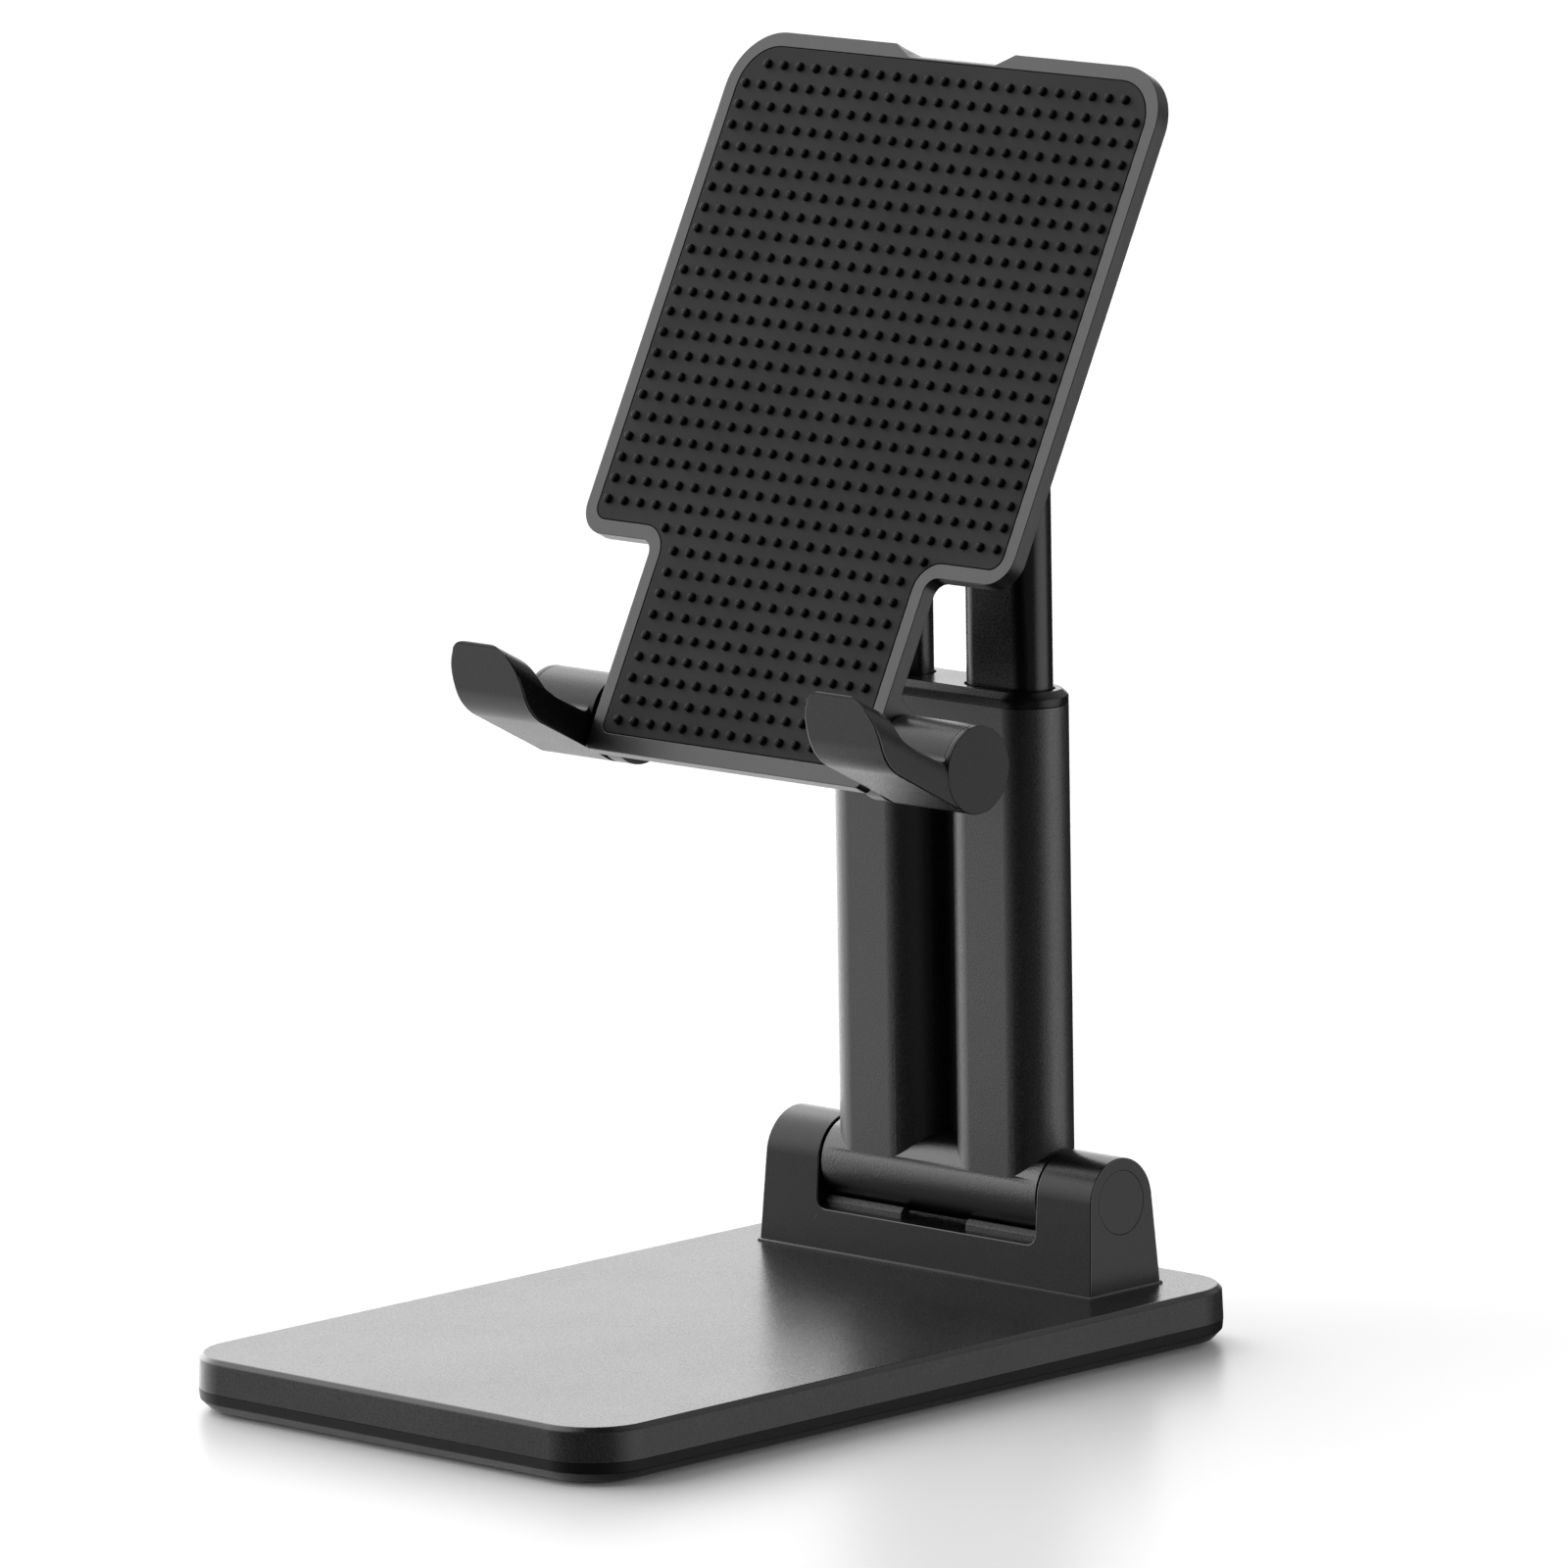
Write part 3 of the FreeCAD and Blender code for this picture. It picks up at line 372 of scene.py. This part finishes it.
shells = [
    {"node": "base_cover", "piece": "base_shell_top", "body": "base", "slot": "base_shell",
     "finish": basePlastic, "radius": 0.0003, "crisp": alongSeam},
    {"node": "base_tray", "piece": "base_shell_bottom", "body": "base", "slot": "base_tray",
     "finish": trayPlastic, "radius": 0.0003, "crisp": alongSeam},
    {"node": "hinge_housing", "piece": "hinge_shell", "body": "base", "slot": "housing",
     "finish": housingPlastic, "edgeFinish": crispPlastic, "radius": 0.00016, "crisp": atEarDisc},
    {"node": "ear_cap_right", "piece": "ear_disc_right", "body": "base", "slot": "cap",
     "finish": housingPlastic, "edgeFinish": crispPlastic, "radius": 0.00006},
    {"node": "ear_cap_left", "piece": "ear_disc_left", "body": "base", "slot": "cap",
     "finish": housingPlastic, "edgeFinish": crispPlastic, "radius": 0.00006},
    {"node": "fold_bumpers", "piece": "channel_ribs", "body": "base", "slot": "bumper",
     "finish": ribPlastic, "radius": 0.00012},
    {"node": "lower_arm", "piece": "arm_posts", "body": "arm", "slot": "arm",
     "finish": postPlastic, "radius": 0.00025},
    {"node": "arm_cap", "piece": "arm_collar", "body": "arm", "slot": "arm",
     "finish": collarShadedPlastic, "radius": 0.00012},
    {"node": "rod_right", "piece": "slide_rod_right", "body": "rods", "slot": "rod",
     "finish": rodCoat, "radius": 0.00015},
    {"node": "rod_left", "piece": "slide_rod_left", "body": "rods", "slot": "rod",
     "finish": rodCoat, "radius": 0.00015},
    {"node": "head_yoke", "piece": "head_block", "body": "rods", "slot": "yoke",
     "finish": housingPlastic, "radius": 0.0003},
    {"node": "phone_plate", "piece": "plate_shell", "body": "plate", "slot": "plate",
     "finish": platePlastic, "radius": 0.0002},
    {"node": "silicone_pad", "piece": "grip_pad", "body": "plate", "slot": "silicone",
     "finish": silicone, "radius": 0.00015},
    {"node": "tilt_ear_right", "piece": "tilt_lug_right", "body": "plate", "slot": "yoke",
     "finish": housingPlastic, "radius": 0.0003},
    {"node": "tilt_ear_left", "piece": "tilt_lug_left", "body": "plate", "slot": "yoke",
     "finish": housingPlastic, "radius": 0.0003},
    {"node": "hook_right", "piece": "phone_hook_right", "body": "hook_r", "slot": "hook",
     "finish": hookPlastic, "edgeFinish": crispPlastic, "radius": 0.00025, "crisp": atHookDiscOrTip},
    {"node": "hook_left", "piece": "phone_hook_left", "body": "hook_l", "slot": "hook",
     "finish": hookPlastic, "edgeFinish": crispPlastic, "radius": 0.00025, "crisp": atHookDiscOrTip},
    {"node": "hook_cap_right", "piece": "hook_disc_right", "body": "hook_r", "slot": "cap",
     "finish": hookPlastic, "radius": 0.00012},
    {"node": "hook_cap_left", "piece": "hook_disc_left", "body": "hook_l", "slot": "cap",
     "finish": hookPlastic, "radius": 0.00012},
]
# how much of a face's normal may point up in an upright side, or sideways in the barrel's round
sideLean = 0.5
barrelSlack = 0.0002  # how far off the barrel's radius its faces may be


def isFloorLitBaseSide(face):
    return abs(face.normal.z) < sideLean


def isShadedBarrelFace(face):
    barrelRadius = hingeAxis.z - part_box("lower_arm")[0].z
    reach = math.hypot(face.center.y - hingeAxis.y, face.center.z - hingeAxis.z)
    return abs(reach - barrelRadius) < barrelSlack and abs(face.normal.x) < sideLean


def secondFinish(piece, finish, belongs):
    piece.data.materials.append(finish)
    for face in piece.data.polygons:
        if belongs(face):
            face.material_index = 1


for shell in shells:
    piece = copyOfNode(shell["node"], shell["piece"], shell["finish"], shell.get("edgeFinish"))
    roundEdges(piece, shell["radius"], shell.get("crisp", nowhere))
    give(piece, shell["body"], shell["slot"], shell["node"])
# upright faces of the base take the paler finish: painted floor light
secondFinish(bpy.data.objects["base_shell_top"], floorLitSidePlastic, isFloorLitBaseSide)
# the barrel's faces take a glossier finish, and a darker colour that is painted shade
secondFinish(bpy.data.objects["arm_posts"], barrelShadedPlastic, isShadedBarrelFace)
print("shells softened:", len(shells))


bead = {"proud": 0.0002, "high": 0.00034, "chamfer": 0.00016, "segments": 2, "smoothAngle": 50}


def makeFootBead():
    # the thin bead where the housing stands on the base
    low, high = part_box("hinge_housing")
    clearSelection()
    centre = ((low.x + high.x) / 2, (low.y + high.y) / 2, low.z + bead["high"] / 2)
    bpy.ops.mesh.primitive_cube_add(size=1, location=centre)
    piece = bpy.context.object
    piece.name = "housing_foot_bead"
    piece.scale = (high.x - low.x + 2 * bead["proud"], high.y - low.y + 2 * bead["proud"], bead["high"])
    bpy.ops.object.transform_apply(location=True, rotation=True, scale=True)
    bpy.ops.object.mode_set(mode="EDIT")
    bpy.ops.mesh.select_mode(type="EDGE")
    bpy.ops.mesh.select_all(action="DESELECT")
    mesh = bmesh.from_edit_mesh(piece.data)
    for edge in mesh.edges:
        edge.select = all(vertex.co.z > low.z + bead["high"] / 2 for vertex in edge.verts)
    bmesh.update_edit_mesh(piece.data)
    bpy.ops.mesh.bevel(offset=bead["chamfer"], segments=bead["segments"], affect="EDGES")
    bpy.ops.object.mode_set(mode="OBJECT")
    # the bead's pale colour is a painted highlight
    piece.data.materials.append(beadHighlightPlastic)
    smoothShade(piece, bead["smoothAngle"])
    return piece


give(makeFootBead(), "base", "housing")
print("foot bead made")


dots = {
    "across": 0.002872, "down": 0.002899,  # from one dot to the next
    "radius": 0.00062, "height": 0.00055, "sunk": 0.0002, "sides": 14,
    "crown": 0.55, "crownSegments": 3, "smoothAngle": 40,  # how much of the radius the top's round takes
    "firstRow": 0.01768,  # above the tilt axis, along the plate
    "face": 0.0085,  # the pad's face, in front of the tilt axis
    "tilt": 27.4,  # the plate's lean at rest
    # rows as (first row, how many rows, dots in each)
    "groups": [(0, 1, 23), (1, 21, 25), (22, 1, 17), (23, 9, 15)],
}


def onPlate():
    # from the plate's own axes, z up along it from the tilt axis, to where it stands
    return Matrix.Translation(tiltAxis) @ Matrix.Rotation(math.radians(-dots["tilt"]), 4, "X")


def makeDot():
    clearSelection()
    tall = dots["height"] + dots["sunk"]
    bpy.ops.mesh.primitive_cylinder_add(vertices=dots["sides"], radius=dots["radius"], depth=tall,
                                        location=(0, 0, 0))
    dot = bpy.context.object
    bpy.ops.object.mode_set(mode="EDIT")
    bpy.ops.mesh.select_mode(type="EDGE")
    bpy.ops.mesh.select_all(action="DESELECT")
    mesh = bmesh.from_edit_mesh(dot.data)
    for edge in mesh.edges:
        edge.select = all(vertex.co.z > 0 for vertex in edge.verts)
    bmesh.update_edit_mesh(dot.data)
    crown = dots["radius"] * dots["crown"]
    bpy.ops.mesh.bevel(offset=crown, segments=dots["crownSegments"], affect="EDGES")
    bpy.ops.object.mode_set(mode="OBJECT")
    # out of the pad's face, with its foot sunk in
    out = Matrix.Translation((0, -dots["face"] - tall / 2 + dots["sunk"], dots["firstRow"]))
    dot.data.transform(out @ Matrix.Rotation(math.radians(90), 4, "X"))
    dot.data.materials.append(dotSilicone)
    smoothShade(dot, dots["smoothAngle"])
    return dot


def makeDots():
    first = makeDot()
    fields = []
    for row, rows, count in dots["groups"]:
        field = bpy.data.objects.new("dot_field", first.data.copy())
        bpy.context.scene.collection.objects.link(field)
        start = (-(count - 1) / 2 * dots["across"], 0, -row * dots["down"])
        field.data.transform(Matrix.Translation(start))
        for number, step in ((count, (dots["across"], 0, 0)), (rows, (0, 0, -dots["down"]))):
            array = field.modifiers.new("repeat", "ARRAY")
            array.count = number
            array.use_relative_offset = False
            array.use_constant_offset = True
            array.constant_offset_displace = step
        applyModifiers(field)
        fields.append(field)
    bpy.data.objects.remove(first)
    clearSelection()
    for field in fields:
        field.select_set(True)
    bpy.context.view_layer.objects.active = fields[0]
    bpy.ops.object.join()
    joined = bpy.context.object
    joined.name = "grip_dots"
    joined.data.transform(onPlate())
    return joined


gripDots = makeDots()
give(gripDots, "plate", "silicone")
print("dots made:", len(gripDots.data.polygons), "faces")


studio = {"floorSize": 24, "floorDrop": 0.00002, "floorShade": 0.75, "floorGlow": 0.03, "floorGloss": 0.22,
          "floorGlossRoughness": 0.3, "fill": 0.085}
lamps = [
    # direction towards the softbox, half angle of its core, half angle where it ends, brightness
    ("upper left", (-0.80, -0.22, 0.56), 25, 55, 2.8),
    ("back left", (-0.86, 0.46, 0.21), 22, 42, 2.35),
    ("front low", (-0.65, -0.62, -0.44), 18, 38, 0.65),
    ("low left", (-0.95, 0.10, -0.30), 20, 50, 0.8),
    ("back right", (0.91, 0.40, -0.05), 8, 42, 1.9),
    ("below left", (-0.75, 0.15, -0.65), 25, 50, 1.05),
    ("back shade", (-0.50, 0.85, 0.10), 20, 45, -0.045),  # below zero: it takes a little of the fill away
    ("camera low", (0.70, -0.60, -0.40), 15, 35, 0.1),
    ("high back", (0.15, 0.70, 0.70), 18, 45, 0.7),
]


def addUp(tree, first, second):
    add = tree.nodes.new("ShaderNodeMath")
    add.operation = "ADD"
    tree.links.new(first, add.inputs[0])
    if isinstance(second, float):
        add.inputs[1].default_value = second
    else:
        tree.links.new(second, add.inputs[1])
    return add.outputs["Value"]


def makeStudioDome():
    world = bpy.data.worlds.new("studio dome")
    bpy.context.scene.world = world
    world.use_nodes = True
    tree = world.node_tree
    tree.nodes.clear()
    coordinates = tree.nodes.new("ShaderNodeTexCoord")
    total = None
    for name, direction, core, rim, brightness in lamps:
        dot = tree.nodes.new("ShaderNodeVectorMath")
        dot.operation = "DOT_PRODUCT"
        dot.inputs[1].default_value = Vector(direction).normalized()
        tree.links.new(coordinates.outputs["Generated"], dot.inputs[0])
        glow = tree.nodes.new("ShaderNodeMapRange")
        glow.label = name
        glow.interpolation_type = "SMOOTHSTEP"
        glow.inputs["From Min"].default_value = math.cos(math.radians(rim))
        glow.inputs["From Max"].default_value = math.cos(math.radians(core))
        glow.inputs["To Min"].default_value = 0
        glow.inputs["To Max"].default_value = brightness
        tree.links.new(dot.outputs["Value"], glow.inputs["Value"])
        total = addUp(tree, total, glow.outputs["Result"]) if total else glow.outputs["Result"]
    background = tree.nodes.new("ShaderNodeBackground")
    tree.links.new(addUp(tree, total, studio["fill"]), background.inputs["Strength"])
    output = tree.nodes.new("ShaderNodeOutputWorld")
    tree.links.new(background.outputs["Background"], output.inputs["Surface"])


def layShaders(tree, first, second):
    add = tree.nodes.new("ShaderNodeAddShader")
    tree.links.new(first, add.inputs[0])
    tree.links.new(second, add.inputs[1])
    return add.outputs["Shader"]


def makeFloor():
    clearSelection()
    bpy.ops.mesh.primitive_plane_add(size=studio["floorSize"], location=(0, 0, -studio["floorDrop"]))
    floor = bpy.context.object
    floor.name = "studio_floor"
    material = bpy.data.materials.new("studio floor")
    material.use_nodes = True
    tree = material.node_tree
    tree.nodes.clear()
    diffuse = tree.nodes.new("ShaderNodeBsdfDiffuse")
    shade = studio["floorShade"]
    diffuse.inputs["Color"].default_value = (shade, shade, shade, 1)
    gloss = tree.nodes.new("ShaderNodeBsdfAnisotropic")
    weight = studio["floorGloss"]
    gloss.inputs["Color"].default_value = (weight, weight, weight, 1)
    gloss.inputs["Roughness"].default_value = studio["floorGlossRoughness"]
    glow = tree.nodes.new("ShaderNodeEmission")
    glow.inputs["Strength"].default_value = studio["floorGlow"]
    lit = layShaders(tree, diffuse.outputs["BSDF"], gloss.outputs["BSDF"])
    output = tree.nodes.new("ShaderNodeOutputMaterial")
    tree.links.new(layShaders(tree, lit, glow.outputs["Emission"]), output.inputs["Surface"])
    floor.data.materials.append(material)
    # the stand sees the dome below the horizon too: it neither mirrors the floor nor takes bounce light from it
    floor.visible_glossy = False
    floor.visible_diffuse = False


# turned from looking straight down, about x, then y, then z, in degrees
cameraLook = {"place": (1.277535, -1.299943, 0.390481), "turn": (80.2248, 0.9076, 44.0328), "lens": 333.7,
              "sensor": 36, "near": 0.1, "far": 50}


def makeCamera():
    data = bpy.data.cameras.new("camera")
    data.lens = cameraLook["lens"]
    data.sensor_width = cameraLook["sensor"]
    data.clip_start = cameraLook["near"]
    data.clip_end = cameraLook["far"]
    camera = bpy.data.objects.new("camera", data)
    bpy.context.scene.collection.objects.link(camera)
    camera.location = cameraLook["place"]
    camera.rotation_euler = [math.radians(angle) for angle in cameraLook["turn"]]
    bpy.context.scene.camera = camera


makeStudioDome()
makeFloor()
makeCamera()
bpy.context.scene.view_settings.view_transform = "Standard"
print("studio ready")
